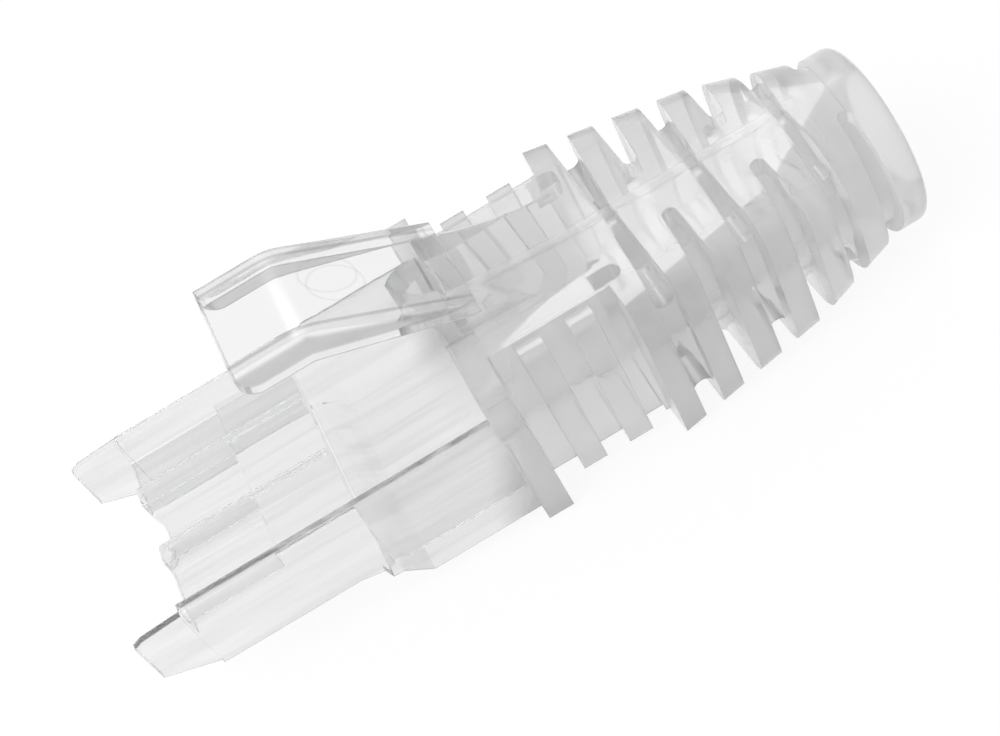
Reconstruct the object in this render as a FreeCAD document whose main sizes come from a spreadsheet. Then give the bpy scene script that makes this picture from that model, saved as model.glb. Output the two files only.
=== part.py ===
import FreeCAD, Part
import math
import os
import Sketcher

# Strain relief boot for an RJ45 plug, one clear moulding.
# X is the width, Y runs from the plug end (-) to the cable end (+), Z is up on the latch side.
# The origin is on the bore axis, at the front face of the flange.

doc = FreeCAD.newDocument("StrainReliefBoot")
sheet = doc.addObject("Spreadsheet::Sheet", "Sizes")

sizes = [
    # sleeve that goes over the back of the plug
    ("sleeveLength", 17.6),
    ("sleeveHalf", 6.46),
    ("sleeveTop", 2.9),
    ("parapetInner", 5.62),
    ("plugHalf", 5.92),
    ("roofUnder", 0.6),
    ("frontRoof", 1.2),
    ("rearRoof", 1.9),
    ("roofStep", 12.2),
    ("roofEnd", 7.8),
    ("edgeRound", 0.5),
    ("footRound", 0.35),
    ("sideUnder", 2.0),
    ("lipBend", 3.1),
    # catch that drops behind the plug, then the tray
    ("catchStart", 9.6),
    ("catchBend", 8.4),
    ("catchBendUnder", 2.3),
    ("catchTip", 8.2),
    ("catchUnder", 3.1),
    ("catchEnd", 7.65),
    ("catchBack", 6.3),
    ("trayUnder", 4.3),
    ("trayTop", 3.4),
    ("trayRound", 0.7),
    ("sillTop", 2.7),
    ("sillBack", 7.5),
    ("cornerRound", 0.45),
    # ridges that guard the latch
    ("guardInner", 1.7),
    ("guardOuter", 2.4),
    ("guardRound", 0.3),
    ("guardNose", 0.8),
    # prongs beside the plug
    ("prongReach", 20.4),
    ("prongHalf", 6.31),
    ("prongTop", 2.53),
    ("prongRise", 0.2),
    ("prongNose", 0.5),
    ("prongNoseTop", 2.27),
    ("prongNoseUnder", 0.75),
    ("prongRoot", 0.1),
    # flange and neck
    ("flangeThick", 1.45),
    ("flangeHalf", 6.8),
    ("restLevel", 5.45),
    ("neckHalf", 4.45),
    ("neckTop", 5.4),
    ("neckUnder", 4.9),
    ("ribFront", 2.84),
    ("ribPitch", 2.73),
    ("ribThick", 1.37),
    ("ribHalf", 5.5),
    ("ribHeight", 5.09),
    # latch hood and the spine behind it
    ("hoodHalf", 3.3),
    ("hoodInner", 2.55),
    ("hoodEdge", 0.35),
    ("railNose", 1.0),
    ("hoodFront", 9.0),
    ("hoodKnee", 5.0),
    ("hoodTop", 11.85),
    ("railUnder", 10.15),
    ("plateThick", 0.9),
    ("kneeBend", 3.0),
    ("hoodFoot", 7.77),
    ("hoodBack", 2.4),
    ("heelRun", 0.6),
    ("heelUnder", 7.35),
    ("spineFront", 1.0),
    ("spineEdge", 0.6),
    ("spineHalf", 2.5),
    ("spineEndHalf", 3.2),
    ("spineStep", 2.0),
    ("spineSecond", 6.69),
    ("spineThird", 5.89),
    ("keelNose", 1.1),
    ("keelBow", 1.5),
    ("keelBend", 2.6),
    ("keelHalf", 1.25),
    ("keelUnder", 6.2),
    ("notchMiddle", 3.75),
    ("notchHalf", 0.5),
    ("notchReach", 0.6),
    ("notchDeep", 1.5),
    # flexible tail
    ("finStart", 8.045),
    ("finPitch", 2.45),
    ("finThick", 1.85),
    ("gapMiddle", 0.6),
    ("gapTip", 1.2),
    ("gapReach", 6.5),
    ("firstWide", 6.6),
    ("firstHigh", 5.45),
    ("firstRound", 0.5),
    ("middleWide", 5.8),
    ("middleHigh", 5.0),
    ("middleRound", 2.0),
    ("endRadius", 5.03),
    ("endRound", 0.6),
    ("tubeRadius", 4.3),
    ("tubeInset", 0.7),
    ("boreRadius", 3.2),
    ("topBridge", 1.9),
    ("sideBridge", 3.3),
    ("sideBridgeFirst", 5.56),
    ("sideBridgeDrop", 0.865),
]

sink = 0.5      # how far one form runs into the next
past = 1.0      # how far a cut reaches beyond the moulding
far = 8.0       # more than the half width, for cuts that run out at the sides
hair = 0.1      # just enough to keep two faces from lying in one plane

for row, (alias, value) in enumerate(sizes, start=1):
    sheet.set("A%d" % row, alias)
    sheet.set("B%d" % row, str(value))
    sheet.setAlias("B%d" % row, alias)
doc.recompute()


class Size:
    """A sheet value with the formula that gives it, so that a sketch can be bound to it."""

    def __init__(self, value, formula):
        self.value = value
        self.formula = formula

    def join(self, other, sign, value):
        text = other.formula if isinstance(other, Size) else str(other)
        return Size(value, "(%s %s %s)" % (self.formula, sign, text))

    def __add__(self, other):
        return self.join(other, "+", self.value + number(other))

    def __sub__(self, other):
        return self.join(other, "-", self.value - number(other))

    def __mul__(self, other):
        return self.join(other, "*", self.value * number(other))

    def __truediv__(self, other):
        return self.join(other, "/", self.value / number(other))

    def __neg__(self):
        return Size(-self.value, "(-1 * %s)" % self.formula)


def number(entry):
    return entry.value if isinstance(entry, Size) else float(entry)


def size(alias):
    return Size(float(sheet.get(alias)), "Sizes." + alias)


def bind(thing, path, entry):
    if isinstance(entry, Size):
        thing.setExpression(path, entry.formula)


boot = doc.addObject("PartDesign::Body", "Boot")
boot.Label = "strain_relief_boot"


def sketch(name, plane, shift=0.0):
    """Empty sketch on a plane of the body's origin, moved along the plane's normal."""
    made = boot.newObject("Sketcher::SketchObject", name)
    holder = [entry for entry in boot.Origin.OriginFeatures if entry.Role == plane][0]
    made.AttachmentSupport = [(holder, "")]
    made.MapMode = "FlatFace"
    made.AttachmentOffset = FreeCAD.Placement(FreeCAD.Vector(0, 0, number(shift)), FreeCAD.Rotation())
    bind(made, "AttachmentOffset.Base.z", shift)
    return made


def fix(made, geometry, point, axis, entry):
    index = made.addConstraint(Sketcher.Constraint("Distance" + axis, -1, 1, geometry, point, number(entry)))
    bind(made, "Constraints[%d]" % index, entry)


def outline(made, points):
    """Closed outline. A point is (across, up) or (across, up, radius), where the radius bends
    the stretch that leaves the point: counter-clockwise if positive, clockwise if negative."""
    first = made.GeometryCount
    total = len(points)
    spots = [FreeCAD.Vector(number(point[0]), number(point[1]), 0) for point in points]
    bends = [number(point[2]) if len(point) == 3 else 0.0 for point in points]
    for index in range(total):
        start = spots[index]
        end = spots[(index + 1) % total]
        if bends[index] == 0:
            made.addGeometry(Part.LineSegment(start, end))
            continue
        if bends[index] < 0:
            start, end = end, start
        made.addGeometry(counterClockwise(start, end, abs(bends[index])))
    for index in range(total):
        after = (index + 1) % total
        leaving = 1 if bends[index] < 0 else 2
        arriving = 2 if bends[after] < 0 else 1
        made.addConstraint(Sketcher.Constraint("Coincident", first + index, leaving, first + after, arriving))
    for index, point in enumerate(points):
        corner = 2 if bends[index] < 0 else 1
        fix(made, first + index, corner, "X", point[0])
        fix(made, first + index, corner, "Y", point[1])
        if bends[index] != 0:
            chord = spots[(index + 1) % total] - spots[index]
            fixBend(made, first + index, point, chord)


def counterClockwise(start, end, radius):
    """Arc of up to half a turn, its centre to the left of the way from start to end."""
    chord = end - start
    inset = math.sqrt(max(radius * radius - chord.Length * chord.Length / 4, 0.0))
    left = FreeCAD.Vector(-chord.y, chord.x, 0).normalize()
    centre = (start + end) / 2 + left * inset
    begin = math.atan2(start.y - centre.y, start.x - centre.x)
    finish = math.atan2(end.y - centre.y, end.x - centre.x)
    circle = Part.Circle(centre, FreeCAD.Vector(0, 0, 1), radius)
    return Part.ArcOfCircle(circle, begin, finish if finish > begin else finish + 2 * math.pi)


def fixBend(made, geometry, point, chord):
    """Radius of an arc, or the centre's place where the arc is half a circle."""
    bend = point[2]
    if abs(abs(number(bend)) - chord.Length / 2) > 1e-4:
        radius = bend if number(bend) > 0 else -bend
        index = made.addConstraint(Sketcher.Constraint("Radius", geometry, number(radius)))
        bind(made, "Constraints[%d]" % index, radius)
    elif abs(chord.x) > abs(chord.y):
        fix(made, geometry, 3, "Y", point[1])
    else:
        fix(made, geometry, 3, "X", point[0])


def roundedBox(made, wide, high, bend):
    outline(made, [
        (wide - bend, high, -bend),
        (wide, high - bend),
        (wide, -high + bend, -bend),
        (wide - bend, -high),
        (-wide + bend, -high, -bend),
        (-wide, -high + bend),
        (-wide, high - bend, -bend),
        (-wide + bend, high),
    ])


def ring(made, radius):
    """Circle about the origin."""
    made.addGeometry(Part.Circle(FreeCAD.Vector(0, 0, 0), FreeCAD.Vector(0, 0, 1), number(radius)))
    made.addConstraint(Sketcher.Constraint("Coincident", 0, 3, -1, 1))
    index = made.addConstraint(Sketcher.Constraint("Radius", 0, number(radius)))
    bind(made, "Constraints[%d]" % index, radius)


def mirrorLeft(points):
    """The same outline on the other side of the middle plane."""
    flipped = [(-point[0], point[1]) + tuple(point[2:]) for point in points]
    turned = []
    total = len(flipped)
    for index in range(total - 1, -1, -1):
        before = flipped[index - 1]
        turned.append((flipped[index][0], flipped[index][1]) + tuple(before[2:]))
    return turned


def settle(made):
    """Recompute, and stop at once if a new feature or its sketch has failed."""
    doc.recompute()
    for thing in (made, made.Profile[0]):
        if "Invalid" in thing.State or "Error" in thing.State:
            raise RuntimeError("%s is in state %s" % (thing.Name, thing.State))


def pad(name, profile, length, middle=False):
    made = boot.newObject("PartDesign::Pad", name)
    made.Profile = profile
    made.Length = number(length)
    bind(made, "Length", length)
    if middle:
        made.Midplane = True
    settle(made)
    return made


def pocket(name, profile, length, middle=False, back=False):
    before = boot.Shape.Volume
    made = boot.newObject("PartDesign::Pocket", name)
    made.Profile = profile
    made.Length = number(length)
    bind(made, "Length", length)
    made.Midplane = middle
    made.Reversed = back
    settle(made)
    if boot.Shape.Volume > before - 0.001:
        raise RuntimeError(name + " cuts nothing")
    return made


def roundOver(name, radius, wanted):
    """Fillet on the edges of the newest feature whose middle point passes the test."""
    base = boot.Tip
    names = []
    for index, edge in enumerate(base.Shape.Edges, start=1):
        spot = edge.valueAt((edge.FirstParameter + edge.LastParameter) / 2)
        if wanted(spot, edge):
            names.append("Edge%d" % index)
    made = boot.newObject("PartDesign::Fillet", name)
    made.Base = (base, names)
    made.Radius = number(radius)
    bind(made, "Radius", radius)
    doc.recompute()
    if "Invalid" in made.State or "Error" in made.State:
        raise RuntimeError("%s failed on %d edges" % (name, len(names)))
    return made


# ---- sleeve ----------------------------------------------------------------------------------

def buildSleeve():
    half = size("sleeveHalf")
    top = size("sleeveTop")
    bend = size("edgeRound")
    front = -size("sleeveLength")
    under = -size("sideUnder")
    catch = -size("catchUnder")
    tray = -size("trayUnder")
    catchBack = -size("catchBack")

    # both side walls and all between them, in side view
    side = sketch("SleeveSide", "YZ_Plane")
    outline(side, [
        (front, under),
        (-size("catchStart"), under),
        (-size("catchBend"), -size("catchBendUnder")),
        (-size("catchTip"), catch),
        (-size("catchEnd"), catch),
        (catchBack, tray),
        (sink, tray),
        (sink, top),
        (front, top),
    ])
    pad("Sleeve", side, half * 2, middle=True)

    # the top outer edges are rounded over
    for name, sign in (("Left", -1), ("Right", 1)):
        edge = sketch("SleeveEdge" + name, "XZ_Plane", -sink)
        points = [
            (half - bend, top, -bend),
            (half, top - bend),
            (half + past, top - bend),
            (half + past, top + past),
            (half - bend, top + past),
        ]
        outline(edge, points if sign > 0 else mirrorLeft(points))
        pocket("SleeveEdgeCut" + name, edge, size("sleeveLength") + past, back=True)

    # plug channel under the roof, open below
    wide = size("plugHalf")
    roofUnder = size("roofUnder")
    channel = sketch("PlugChannel", "XZ_Plane", size("roofEnd"))
    outline(channel, [(-wide, -far), (wide, -far), (wide, roofUnder), (-wide, roofUnder)])
    pocket("PlugChannelCut", channel, size("sleeveLength"), back=True)

    # three bays over the roof, with the latch guards left standing between them
    for name, level, length in (("Rear", size("rearRoof"), size("roofEnd")),
                                ("Front", size("frontRoof"), size("roofStep"))):
        bays = sketch("RoofBays" + name, "XZ_Plane", length)
        outer = size("parapetInner")
        guardIn = size("guardInner")
        guardOut = size("guardOuter")
        guardBend = size("guardRound")
        foot = size("footRound")
        right = [
            (guardOut - guardBend, top, -guardBend),
            (guardOut, top - guardBend),
            (guardOut, level + foot, foot),
            (guardOut + foot, level),
            (outer - foot, level, foot),
            (outer, level + foot),
            (outer, top + past),
            (guardOut - guardBend, top + past),
        ]
        centre = [
            (guardIn + guardBend, top, guardBend),
            (guardIn, top - guardBend),
            (guardIn, level + foot, -foot),
            (guardIn - foot, level),
            (-guardIn + foot, level, -foot),
            (-guardIn, level + foot),
            (-guardIn, top - guardBend, guardBend),
            (-guardIn - guardBend, top),
            (-guardIn - guardBend, top + past),
            (guardIn + guardBend, top + past),
        ]
        outline(bays, right)
        outline(bays, mirrorLeft(right))
        outline(bays, centre)
        pocket("RoofBaysCut" + name, bays, size("sleeveLength"), back=True)

    # open trough behind the roof, over a thin tray
    inner = size("parapetInner")
    trayTop = -size("trayTop")
    trayBend = size("trayRound")
    trough = sketch("Trough", "XZ_Plane", 0)
    outline(trough, [
        (-inner + trayBend, trayTop),
        (inner - trayBend, trayTop, trayBend),
        (inner, trayTop + trayBend),
        (inner, top + past),
        (-inner, top + past),
        (-inner, trayTop + trayBend, trayBend),
    ])
    pocket("TroughCut", trough, size("roofEnd"), back=True)

    # low sill across the mouth of the tray, where the back of the plug stops
    sill = sketch("SillSide", "YZ_Plane")
    sillTop = -size("sillTop")
    outline(sill, [
        (-size("catchTip"), catch),
        (-size("catchEnd"), catch),
        (catchBack, tray),
        (catchBack, trayTop - hair),
        (-size("sillBack"), sillTop),
        (-size("catchTip"), sillTop),
    ])
    pad("Sill", sill, (wide + hair) * 2, middle=True)

    # rounded noses of the latch guards
    nose = size("guardNose")
    noses = sketch("GuardNoses", "YZ_Plane")
    outline(noses, [
        (front - past, top + past),
        (front - past, top - nose),
        (front, top - nose, -nose),
        (front + nose, top),
        (front + nose, top + past),
    ])
    pocket("GuardNoseCut", noses, (size("guardOuter") + hair) * 2, middle=True)

    # the roof's front edge draws back in a shallow arc between the guards
    lip = sketch("FrontLip", "XY_Plane")
    guardIn = size("guardInner")
    outline(lip, [
        (-guardIn, front, -size("lipBend")),
        (guardIn, front),
        (guardIn, front - past),
        (-guardIn, front - past),
    ])
    pocket("FrontLipCut", lip, far, middle=True)


def buildProngs():
    reach = -size("prongReach")
    root = -size("sleeveLength") + size("prongRoot")
    level = size("prongTop")
    under = -size("sideUnder")
    inner = size("plugHalf")
    thick = size("prongHalf") - inner
    for name, start in (("Right", inner), ("Left", -size("prongHalf"))):
        side = sketch("ProngSide" + name, "YZ_Plane", start)
        outline(side, [
            (reach, -size("prongNoseUnder")),
            (root, under),
            (root + past, under),
            (root + past, level + size("prongRise")),
            (root, level + size("prongRise")),
            (reach + size("prongNose"), level),
            (reach, size("prongNoseTop")),
        ])
        pad("Prong" + name, side, thick)


# ---- flange, neck and hood -------------------------------------------------------------------

def buildNeck():
    half = size("neckHalf")
    top = size("neckTop")
    under = -size("neckUnder")
    length = size("finStart") + sink
    neck = sketch("NeckFace", "XZ_Plane", -length)
    outline(neck, [(-half, under), (half, under), (half, top), (-half, top)])
    pad("Neck", neck, length)

    wide = size("flangeHalf")
    rest = size("restLevel")
    flange = sketch("FlangeFace", "XZ_Plane", -size("flangeThick"))
    roundedBox(flange, wide, rest, size("cornerRound"))
    pad("Flange", flange, size("flangeThick"))

    ribWide = size("ribHalf")
    ribHigh = size("ribHeight")
    for index in range(2):
        back = size("ribFront") + size("ribPitch") * index + size("ribThick")
        rib = sketch("RibFace%d" % (index + 1), "XZ_Plane", -back)
        roundedBox(rib, ribWide, ribHigh, size("cornerRound"))
        pad("Rib%d" % (index + 1), rib, size("ribThick"))


def buildHood():
    front = -size("hoodFront")
    knee = -size("hoodKnee")
    top = size("hoodTop")
    under = size("railUnder")
    foot = size("hoodFoot")
    back = size("hoodBack")
    plate = size("plateThick")

    # spine from the flange back to the first fin, falling and widening as it goes
    spineFront = size("spineFront")
    half = size("spineHalf")
    endHalf = size("spineEndHalf")
    slope = (top - foot) / (back - knee)
    step = size("spineStep")
    base = size("neckTop") - past
    # place, half width and top of each cross-section
    stations = [
        (spineFront, half, foot + (back - spineFront) * slope - hair),
        (back, half, foot - hair / 2),
        (back + step, half + (endHalf - half) * 0.3, size("spineSecond")),
        (back + step * 2, half + (endHalf - half) * 0.65, size("spineThird")),
        (size("finStart") + sink, endHalf, size("firstHigh")),
    ]
    faces = []
    for index, (place, wide, high) in enumerate(stations, start=1):
        bend = size("spineEdge")
        face = sketch("SpineFace%d" % index, "XZ_Plane", -place)
        outline(face, [
            (-wide, base),
            (wide, base),
            (wide, high - bend, bend),
            (wide - bend, high),
            (-wide + bend, high, bend),
            (-wide, high - bend),
        ])
        faces.append(face)
    spine = boot.newObject("PartDesign::AdditiveLoft", "Spine")
    spine.Profile = faces[0]
    spine.Sections = faces[1:]
    settle(spine)

    # hood over the latch, an upturned channel
    half = size("hoodHalf")
    nose = size("railNose")
    bend = size("kneeBend")
    lean = math.atan(slope.value)
    run = bend * math.tan(lean / 2)
    hood = sketch("HoodSide", "YZ_Plane")
    outline(hood, [
        (front, top),
        (front, under + nose, nose),
        (front + nose, under),
        (knee - run / 2, under),
        (back - size("heelRun"), size("heelUnder")),
        (back, size("heelUnder") - hair),
        (back, foot),
        (knee + run * math.cos(lean), top - run * math.sin(lean), bend),
        (knee - run, top),
    ])
    pad("Hood", hood, half * 2, middle=True)

    def onTopEdge(spot, edge):
        level = min(top.value, foot.value + (back.value - spot.y) * slope.value)
        atSide = abs(abs(spot.x) - half.value) < 0.01
        return atSide and spot.z > level - nose.value / 4 and edge.Length > past / 2

    roundOver("HoodEdges", size("hoodEdge"), onTopEdge)
    hollow = sketch("HoodHollow", "YZ_Plane")
    outline(hollow, [
        (front - past, under - past),
        (front - past, top - plate),
        (knee - run / 4, top - plate),
        (spineFront, foot + (back - spineFront) * slope - plate),
        (spineFront, size("neckTop") + past),
    ])
    pocket("HoodHollowCut", hollow, size("hoodInner") * 2, middle=True)

    # keel under the hood, pointed at the front like a boat
    keel = sketch("Keel", "XY_Plane", size("keelUnder"))
    bow = -size("keelNose")
    beam = size("keelHalf")
    outline(keel, [
        (0, bow, size("keelBend")),
        (beam, bow + size("keelBow")),
        (beam, spineFront + hair),
        (-beam, spineFront + hair),
        (-beam, bow + size("keelBow"), size("keelBend")),
    ])
    # its top meets the sloping underside of the hood
    plateUnder = [
        "Face%d" % index for index, face in enumerate(boot.Tip.Shape.Faces, start=1)
        if face.CenterOfMass.z > 8 and abs(face.CenterOfMass.x) < 0.5
        and face.normalAt(0, 0).z < -0.8 and face.normalAt(0, 0).y < -0.3 and face.Area > 10
    ]
    upTo = boot.Tip
    post = boot.newObject("PartDesign::Pad", "KeelPad")
    post.Profile = keel
    post.Type = "UpToFace"
    post.UpToFace = (upTo, plateUnder[:1])
    settle(post)


# ---- tail ------------------------------------------------------------------------------------

def buildTail():
    start = size("finStart")
    pitch = size("finPitch")
    # outer form: a rounded box that turns round towards the cable end
    first = sketch("TailStart", "XZ_Plane", -start)
    roundedBox(first, size("firstWide"), size("firstHigh"), size("firstRound"))
    middle = sketch("TailMiddle", "XZ_Plane", -(start + pitch * 3 + size("finThick")))
    roundedBox(middle, size("middleWide"), size("middleHigh"), size("middleRound"))
    last = sketch("TailEnd", "XZ_Plane", -(start + pitch * 6 - hair))
    radius = size("endRadius")
    roundedBox(last, radius + hair / 5, radius + hair / 5, radius - hair)
    form = boot.newObject("PartDesign::AdditiveLoft", "TailForm")
    form.Profile = first
    form.Sections = [middle, last]
    form.Ruled = True
    settle(form)

    # round end fin with a soft rear rim
    rim = size("endRound")
    back = start + pitch * 6 + size("finThick")
    face = sketch("EndFin", "YZ_Plane")
    outline(face, [
        (back - size("finThick") - sink, 0),
        (back, 0),
        (back, radius - rim, rim),
        (back - rim, radius),
        (back - size("finThick") - sink, radius),
    ])
    turn = boot.newObject("PartDesign::Revolution", "EndFinTurn")
    turn.Profile = face
    turn.ReferenceAxis = (face, ["H_Axis"])
    turn.Angle = 360
    settle(turn)

    # gaps between the fins, wider at the sides than in the middle
    narrow = size("gapMiddle") / 2
    wide = size("gapTip") / 2
    reach = size("gapReach")
    slope = (wide - narrow) / reach
    for index in range(6):
        centre = start + size("finThick") + narrow + pitch * index
        gap = sketch("Gap%d" % (index + 1), "XY_Plane")
        if index % 2 == 0:
            outline(gap, [
                (0, centre - narrow),
                (far, centre - narrow - slope * far),
                (far, centre + narrow + slope * far),
                (0, centre + narrow),
                (-far, centre + narrow + slope * far),
                (-far, centre - narrow - slope * far),
            ])
        else:
            stop = size("topBridge")
            near = narrow + slope * stop
            right = [
                (stop + near, centre - near),
                (far, centre - narrow - slope * far),
                (far, centre + narrow + slope * far),
                (stop + near, centre + near, near),
            ]
            outline(gap, right)
            outline(gap, mirrorLeft(right))
        pocket("GapCut%d" % (index + 1), gap, far * 2, middle=True)

    # front face of the first fin leans back towards its tips
    lean = sketch("FirstFinFront", "XY_Plane")
    neckHalf = size("neckHalf")
    right = [
        (neckHalf, start - hair),
        (far, start - hair),
        (far, start + slope * far),
        (neckHalf, start + slope * neckHalf),
    ]
    outline(lean, right)
    outline(lean, mirrorLeft(right))
    pocket("FirstFinFrontCut", lean, far * 2, middle=True)

    # round-ended notches beside the spine, in the front of the first fin
    notches = sketch("Notches", "XY_Plane", size("firstHigh") - size("notchDeep"))
    middle = size("notchMiddle")
    side = size("notchHalf")
    reach = size("notchReach")
    right = [
        (middle - side, start - sink),
        (middle + side, start - sink),
        (middle + side, start + reach, side),
        (middle - side, start + reach),
    ]
    outline(notches, right)
    outline(notches, mirrorLeft(right))
    pocket("NotchCut", notches, size("notchDeep") + past, back=True)

    # tube that carries the fins
    end = back - size("tubeInset")
    tube = sketch("TubeFace", "XZ_Plane", -end)
    ring(tube, size("tubeRadius"))
    pad("Tube", tube, end - start + sink)

    # side bridges of the odd gaps, with hollow ends above and below
    low = size("sideBridge")
    for step in range(3):
        centre = start + size("finThick") + narrow + pitch * (2 * step)
        bridge = sketch("SideBridge%d" % (step + 1), "YZ_Plane")
        outline(bridge, [
            (centre - wide, -low - wide, -wide),
            (centre + wide, -low - wide),
            (centre + wide, low + wide, -wide),
            (centre - wide, low + wide),
        ])
        pad("SideBridgePad%d" % (step + 1), bridge,
            (size("sideBridgeFirst") - size("sideBridgeDrop") * step) * 2, middle=True)


def buildBore():
    back = size("finStart") + size("finPitch") * 6 + size("finThick")
    hole = sketch("BoreFace", "XZ_Plane", -back)
    ring(hole, size("boreRadius"))
    pocket("Bore", hole, back + sink, back=True)


buildSleeve()
buildProngs()
buildNeck()
buildHood()
buildTail()
buildBore()
doc.recompute()

for thing in doc.Objects:
    if "Invalid" in thing.State or "Error" in thing.State:
        raise RuntimeError(thing.Name + " is in state " + str(thing.State))
shape = boot.Shape
if shape.isNull() or not shape.isValid():
    raise RuntimeError("the boot's shape is not valid")
if len(shape.Solids) != 1:
    raise RuntimeError("the boot is %d solids" % len(shape.Solids))

os.makedirs("parts", exist_ok=True)
shape.exportStep("parts/%s.step" % boot.Label)
box = shape.BoundBox
print("box", [round(v, 2) for v in (box.XMin, box.XMax, box.YMin, box.YMax, box.ZMin, box.ZMax)])
print("volume %.1f mm3, %d faces" % (shape.Volume, len(shape.Faces)))
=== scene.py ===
import bpy
from mathutils import Matrix, Vector


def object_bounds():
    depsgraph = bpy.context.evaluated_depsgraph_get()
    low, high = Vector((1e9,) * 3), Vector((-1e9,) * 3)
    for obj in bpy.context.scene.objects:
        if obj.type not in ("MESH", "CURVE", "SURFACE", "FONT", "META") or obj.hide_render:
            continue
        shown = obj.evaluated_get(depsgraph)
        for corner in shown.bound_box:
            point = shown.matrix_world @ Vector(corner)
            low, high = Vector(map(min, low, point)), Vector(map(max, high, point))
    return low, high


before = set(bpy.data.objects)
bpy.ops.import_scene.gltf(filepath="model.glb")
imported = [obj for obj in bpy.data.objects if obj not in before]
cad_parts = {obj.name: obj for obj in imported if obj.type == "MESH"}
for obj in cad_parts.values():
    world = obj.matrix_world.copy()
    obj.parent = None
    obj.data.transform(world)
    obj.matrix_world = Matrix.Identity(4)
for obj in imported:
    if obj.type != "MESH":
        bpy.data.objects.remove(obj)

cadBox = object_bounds()
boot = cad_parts["strain_relief_boot"]


class Socket:
    # an output socket that takes part in plain sums
    def __init__(self, shader, out):
        self.shader = shader
        self.out = out

    def maths(self, operation, first, second):
        return self.shader.node("ShaderNodeMath", {"operation": operation},
                                {0: first, 1: second})

    def __add__(self, other):
        return self.maths("ADD", self, other)

    def __radd__(self, other):
        return self.maths("ADD", other, self)

    def __sub__(self, other):
        return self.maths("SUBTRACT", self, other)

    def __rsub__(self, other):
        return self.maths("SUBTRACT", other, self)

    def __mul__(self, other):
        return self.maths("MULTIPLY", self, other)

    def __rmul__(self, other):
        return self.maths("MULTIPLY", other, self)

    def __abs__(self):
        return self.shader.node("ShaderNodeMath", {"operation": "ABSOLUTE"}, {0: self})


class Shader:
    def __init__(self, owner, output):
        self.owner = owner
        owner.use_nodes = True
        self.tree = owner.node_tree
        self.tree.nodes.clear()
        self.output = self.tree.nodes.new(output)

    # one node; out picks which of its outputs comes back
    def node(self, kind, settings=None, inputs=None, out=0):
        made = self.tree.nodes.new(kind)
        for name, value in (settings or {}).items():
            setattr(made, name, value)
        for name, value in (inputs or {}).items():
            if isinstance(value, Socket):
                self.tree.links.new(value.out, made.inputs[name])
            else:
                made.inputs[name].default_value = value
        return Socket(self, made.outputs[out])

    # eased from 0 at start to 1 at end; start may be the larger of the two
    def ramp(self, value, start, end):
        rising = end > start
        span = {"Value": value, "From Min": min(start, end), "From Max": max(start, end),
                "To Min": 0.0 if rising else 1.0, "To Max": 1.0 if rising else 0.0}
        return self.node("ShaderNodeMapRange", {"interpolation_type": "SMOOTHSTEP"}, span)

    def separate(self, place, axis):
        return self.node("ShaderNodeSeparateXYZ", None, {"Vector": place}, out=axis)

    def vector(self, operation, first, second=(0, 0, 0), out=0):
        return self.node("ShaderNodeVectorMath", {"operation": operation},
                         {0: first, 1: second}, out)

    def noise(self, place, scale, detail, rough):
        return self.node("ShaderNodeTexNoise", {"noise_dimensions": "3D"},
                         {"Vector": place, "Scale": scale, "Detail": detail, "Roughness": rough})

    def blend(self, share, first, second):
        return self.node("ShaderNodeMix", {"data_type": "RGBA"},
                         {0: share, 6: first, 7: second}, out=2)

    def mix(self, share, first, second):
        return self.node("ShaderNodeMixShader", None, {0: share, 1: first, 2: second})

    def finish(self, surface, volume=None):
        self.tree.links.new(surface.out, self.output.inputs["Surface"])
        if volume:
            self.tree.links.new(volume.out, self.output.inputs["Volume"])
        return self.owner


plastic = {
    # clear front part, with faint streaks along the flow of the melt
    "clear": (0.93, 0.935, 0.932, 1),
    "streak": (0.83, 0.835, 0.832, 1),
    "streakStretch": (1400, 70, 900),
    "streakFrom": 0.45,
    "streakTo": 0.65,
    # light middle band, painted shade on the greyer sides and darker painted shade at the
    # outermost tips; that darkest colour also draws the pin marks
    "band": (0.97, 0.975, 0.972, 1),
    "paintedSideShade": (0.86, 0.865, 0.862, 1),
    "paintedShadeAndPinMark": (0.46, 0.465, 0.462, 1),
    "sides": (0.0025, 0.0055),
    "tips": (0.0049, 0.0064),
    # where the clear sleeve turns into the slightly frosted tail; the border leans back
    "frostFrom": -0.0015,
    "frostTo": 0.0015,
    "frostLean": 0.3,
    "gloss": 0.05,
    "frost": 0.08,
    "haze": 0.06,
    "cloud": 0.3,
    "cloudMiddle": 0.5,
    # the last fin is the milkiest
    "endFrom": 0.0195,
    "endTo": 0.0235,
    "endCloud": 0.25,
    "milk": (0.93, 0.93, 0.93, 1),
    "milkBack": 0.5,
    # rails of the hood start here; painted shade darkens them, with a painted dark line along
    # them
    "rail": 0.00255,
    "railLine": 0.00018,
    "railCore": 0.2,
    "railShare": 0.4,
    "sleeveTop": (0.007, 0.004),
    "bend": 1.18,
    "coat": 1.0,
    "coatSoft": 0.2,
    "soak": (0.3, 0.3, 0.3, 1),
    "soakDepth": 22,
    "edgeRound": 0.00012,
    "edgeSamples": 4,
    "rippleSize": 300,
    "rippleShare": 0.05,
    "rippleDepth": 0.0004,
    "noiseDetail": 2.0,
    "noiseRough": 0.5,
    # round marks of the mould's pins: middle, radius, directions that count
    "pins": [
        ((-0.0006, -0.0030, 0.0108), 0.00125, (1, 1, 0.1)),
        ((0.0055, 0.00625, 0.0010), 0.00035, (1, 1, 1)),
        ((-0.0055, 0.00625, 0.0010), 0.00035, (1, 1, 1)),
    ],
    "pinLine": 0.0001,
    "pinCore": 0.3,
    "pinShare": 0.3,
}


def pinMarks(shader, place, look):
    marks = 0.0
    for middle, radius, counts in look["pins"]:
        away = shader.vector("SUBTRACT", place, middle)
        away = shader.vector("MULTIPLY", away, counts)
        reach = shader.vector("LENGTH", away, out=1)
        line = look["pinLine"]
        marks = marks + shader.ramp(abs(reach - radius), line, line * look["pinCore"])
    return marks


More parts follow.
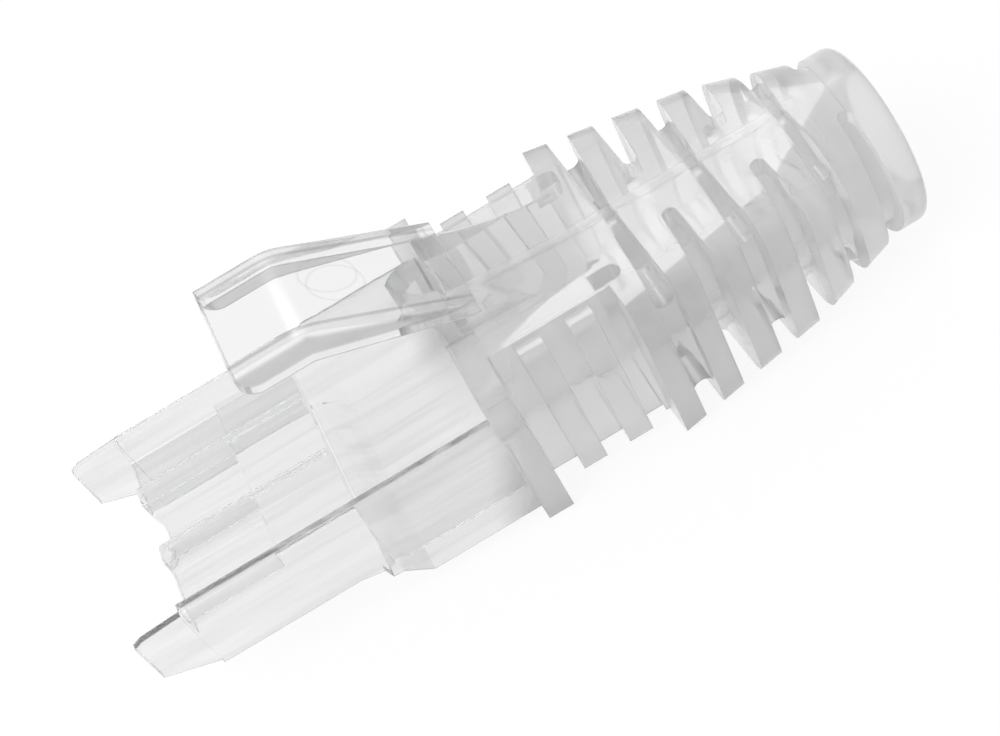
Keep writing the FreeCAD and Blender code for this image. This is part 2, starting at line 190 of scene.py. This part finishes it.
def makeColour(shader, place, across, high, tail, side, look):
    # sleeve: faint streaks
    drawn = shader.vector("MULTIPLY", place, look["streakStretch"])
    flow = shader.noise(drawn, 1.0, look["noiseDetail"], look["noiseRough"])
    streaks = shader.ramp(flow, look["streakFrom"], look["streakTo"])
    sleeveColour = shader.blend(streaks, look["clear"], look["streak"])

    # tail: light middle, painted shade on the sides, darker painted shade at the tips
    tip = shader.ramp(across, *look["tips"])
    tailColour = shader.blend(side, look["band"], look["paintedSideShade"])
    tailColour = shader.blend(tip, tailColour, look["paintedShadeAndPinMark"])

    # hood: painted shade on its rails and a painted dark line beside them
    line = look["railLine"]
    rail = shader.ramp(across, look["rail"] - line, look["rail"])
    creaseLineShade = shader.ramp(abs(across - look["rail"]), line, line * look["railCore"])
    hoodColour = shader.blend(rail * look["railShare"], look["band"], look["paintedSideShade"])
    hoodColour = shader.blend(creaseLineShade, hoodColour, look["paintedShadeAndPinMark"])

    sleeve = shader.ramp(high, *look["sleeveTop"])
    colour = shader.blend(sleeve, hoodColour, sleeveColour)
    colour = shader.blend(tail, colour, tailColour)
    return shader.blend(pinMarks(shader, place, look) * look["pinShare"], colour, look["paintedShadeAndPinMark"])


def makePlastic(look):
    shader = Shader(bpy.data.materials.new("clearPlastic"), "ShaderNodeOutputMaterial")
    place = shader.node("ShaderNodeTexCoord", out="Object")
    across = abs(shader.separate(place, 0))
    along = shader.separate(place, 1)
    high = shader.separate(place, 2)
    tail = shader.ramp(along - high * look["frostLean"], look["frostFrom"], look["frostTo"])
    side = shader.ramp(across, *look["sides"])
    colour = makeColour(shader, place, across, high, tail, side, look)

    # edges of the moulding catch the light, its faces are a little uneven
    edge = shader.node("ShaderNodeBevel", {"samples": look["edgeSamples"]},
                       {"Radius": look["edgeRound"]})
    ripple = shader.noise(place, look["rippleSize"], look["noiseDetail"], look["noiseRough"])
    bump = shader.node("ShaderNodeBump", None, {
        "Strength": look["rippleShare"],
        "Distance": look["rippleDepth"],
        "Height": ripple,
        "Normal": edge,
    })
    surface = shader.node("ShaderNodeBsdfPrincipled", None, {
        "Base Color": colour,
        "Roughness": tail * (look["frost"] - look["gloss"]) + look["gloss"],
        "IOR": look["bend"],
        "Transmission Weight": 1.0,
        "Coat Weight": look["coat"],
        "Coat Roughness": look["coatSoft"],
        "Normal": bump,
    })

    # a little milk in the plastic, more of it in the tail's sides and last fin
    milkInputs = {"Color": look["milk"], "Normal": bump}
    through = shader.node("ShaderNodeBsdfTranslucent", None, milkInputs)
    back = shader.node("ShaderNodeBsdfDiffuse", None, milkInputs)
    milk = shader.mix(look["milkBack"], through, back)
    spread = side * (1.0 - look["cloudMiddle"]) + look["cloudMiddle"]
    haze = tail * spread * (look["cloud"] - look["haze"]) + look["haze"]
    haze = haze + shader.ramp(along, look["endFrom"], look["endTo"]) * look["endCloud"]
    soak = shader.node("ShaderNodeVolumeAbsorption", None,
                       {"Color": look["soak"], "Density": look["soakDepth"]})
    return shader.finish(shader.mix(haze, surface, milk), soak)


clearPlastic = makePlastic(plastic)
for slot in boot.material_slots:
    slot.material = clearPlastic
print("plastic made")

camera = {
    "lens": 69.4,
    "sensor": 36,
    "nearClip": 0.001,
    "place": (0.06424, 0.00225, 0.07526),
    "right": (0.388, 0.860, -0.333),
    "up": (-0.659, 0.511, 0.552),
}


def makeCamera(look):
    lens = bpy.data.cameras.new("camera")
    lens.lens = look["lens"]
    lens.sensor_width = look["sensor"]
    lens.clip_start = look["nearClip"]
    made = bpy.data.objects.new("camera", lens)
    right = Vector(look["right"]).normalized()
    back = right.cross(Vector(look["up"])).normalized()
    up = back.cross(right)
    turn = Matrix((right, up, back)).transposed().to_4x4()
    made.matrix_world = Matrix.Translation(look["place"]) @ turn
    bpy.context.collection.objects.link(made)
    bpy.context.scene.camera = made


makeCamera(camera)
print("camera made")

studio = {
    "floorSize": 1.2,
    "floorGap": 0.00002,
    "floorColour": (0.9, 0.9, 0.9, 1),
    "floorWhite": 0.9,
    "white": (1, 1, 1, 1),
    "whiteLevel": 1.0,
    "sky": 0.75,
    "lamps": [
        # name, place, width, length, watts, point it looks at
        ("key", (0.10, -0.20, 0.30), 0.25, 0.25, 0.8, (0, 0, 0)),
        ("strip", (-0.206, 0.05, 0.25), 0.05, 0.10, 0.13, (-0.206, 0.0501, 0)),
    ],
}


def makeFloor(look, height):
    half = look["floorSize"]
    corners = [(-half, -half, height), (half, -half, height),
               (half, half, height), (-half, half, height)]
    mesh = bpy.data.meshes.new("floor")
    mesh.from_pydata(corners, [], [(0, 1, 2, 3)])
    floor = bpy.data.objects.new("floor", mesh)
    bpy.context.collection.objects.link(floor)

    # nearly white when looked at directly, in a reflection or through the plastic;
    # the rest of it is matt and keeps the shadow
    shader = Shader(bpy.data.materials.new("floorWhite"), "ShaderNodeOutputMaterial")
    seen = shader.node("ShaderNodeLightPath", out="Is Camera Ray")
    for ray in ("Is Glossy Ray", "Is Transmission Ray"):
        also = shader.node("ShaderNodeLightPath", out=ray)
        seen = shader.node("ShaderNodeMath", {"operation": "MAXIMUM"}, {0: seen, 1: also})
    matt = shader.node("ShaderNodeBsdfDiffuse", None, {"Color": look["floorColour"]})
    white = shader.node("ShaderNodeEmission", None,
                        {"Color": look["white"], "Strength": look["whiteLevel"]})
    floor.data.materials.append(shader.finish(shader.mix(seen * look["floorWhite"], matt, white)))


def makeLamps(look):
    for name, place, width, length, watts, target in look["lamps"]:
        lamp = bpy.data.lights.new(name, "AREA")
        lamp.shape = "RECTANGLE"
        lamp.size = width
        lamp.size_y = length
        lamp.energy = watts
        made = bpy.data.objects.new(name, lamp)
        made.location = place
        aim = Vector(target) - Vector(place)
        made.rotation_euler = aim.to_track_quat("-Z", "Y").to_euler()
        made.visible_transmission = False  # the lamp isn't seen through the plastic
        bpy.context.collection.objects.link(made)


# even light from all round; what the camera itself sees of it is white
def makeSky(look):
    shader = Shader(bpy.data.worlds.new("studio"), "ShaderNodeOutputWorld")
    seen = shader.node("ShaderNodeLightPath", out="Is Camera Ray")
    sky = shader.node("ShaderNodeBackground", None,
                      {"Color": look["white"], "Strength": look["sky"]})
    plain = shader.node("ShaderNodeBackground", None,
                        {"Color": look["white"], "Strength": look["whiteLevel"]})
    bpy.context.scene.world = shader.finish(shader.mix(seen, sky, plain))


makeFloor(studio, cadBox[0][2] - studio["floorGap"])
makeLamps(studio)
makeSky(studio)
bpy.context.scene.view_settings.view_transform = "Standard"
print("studio made")
